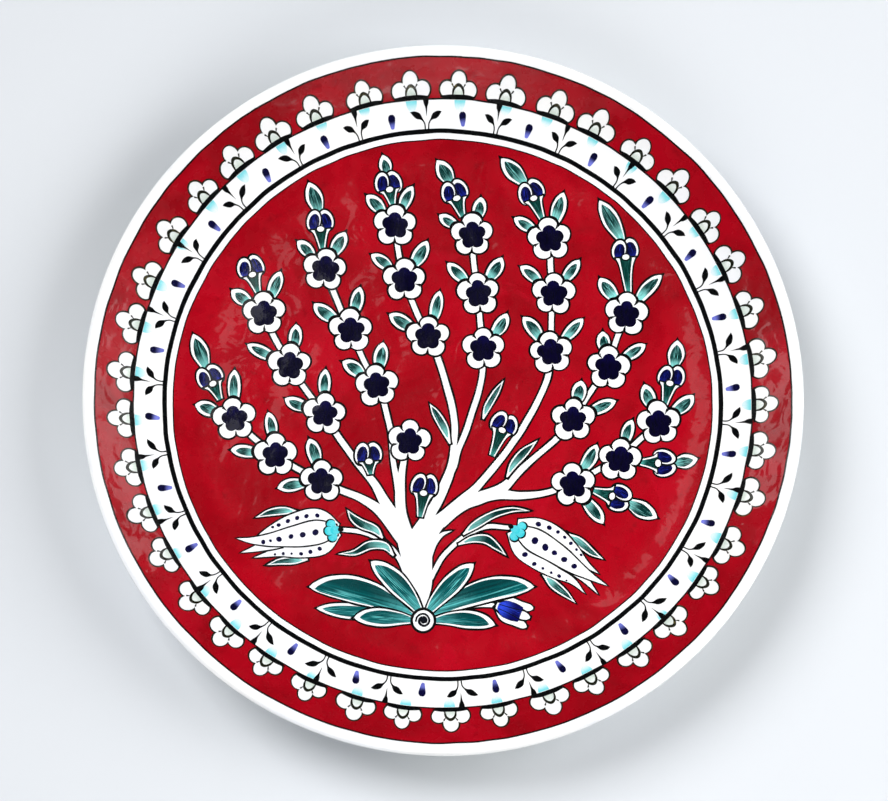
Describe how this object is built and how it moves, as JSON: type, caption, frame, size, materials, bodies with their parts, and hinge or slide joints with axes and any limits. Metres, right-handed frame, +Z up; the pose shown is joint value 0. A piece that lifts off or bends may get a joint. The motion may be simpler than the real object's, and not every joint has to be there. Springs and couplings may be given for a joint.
{
  "type": "hand painted ceramic plate",
  "caption": "Round shallow ceramic dish on a foot ring, hand painted with a blossoming tree, tulips and a flowered border on raised red.",
  "frame": {"origin": "centre of the foot ring's resting plane", "axes": "+Z up out of the dish along its axis of revolution; +Y towards the top of the painted tree; +X to the tree's right"},
  "size_m": [0.3, 0.3, 0.031],
  "materials": {
    "fired_clay": "unglazed fired stonepaste, matt, warm off-white",
    "white_glaze": "white slip under a clear high-gloss glaze",
    "red": "thick deep red under a clear gloss glaze, mottled by the brush",
    "black_line": "green-black drawn line under gloss glaze",
    "olive_line": "brownish olive line, thinner at its edges, gloss",
    "pale_wash": "very pale yellow-green to turquoise wash, gloss",
    "cobalt": "deep cobalt, pooling darker, gloss",
    "turquoise": "bright turquoise wash, gloss",
    "green": "copper green with brush streaks, dark to light, gloss"
  },
  "bodies": {
    "root": {"clay_body": "fired_clay", "white_slip": "white_glaze", "back_glaze": "white_glaze", "rim_line": "black_line", "band_outer_ring": "black_line", "band_inner_ring": "black_line", "field_line": "black_line", "red_border": "red", "red_field": "red", "border_flower_outlines": "black_line", "border_flower_bars": "black_line", "border_flower_arches": "olive_line", "border_flower_centres": "pale_wash", "band_sprigs": "black_line", "band_cobalt_drops": "cobalt", "band_turquoise_washes": "turquoise", "trunk_outline": "black_line", "leaf_outlines": "black_line", "leaf_greens": "green", "blossom_outlines": "black_line", "blossom_hearts": "cobalt", "bud_outlines": "black_line", "bud_petals": "cobalt", "bud_calyxes": "green", "tulip_outlines": "black_line", "tulip_dots": "cobalt", "tulip_cups": "turquoise", "small_tulip_heart": "cobalt", "base_leaf_outlines": "black_line", "base_leaf_greens": "green", "rosette_ring": "black_line", "rosette_curl": "black_line"}
  },
  "joints": []
}
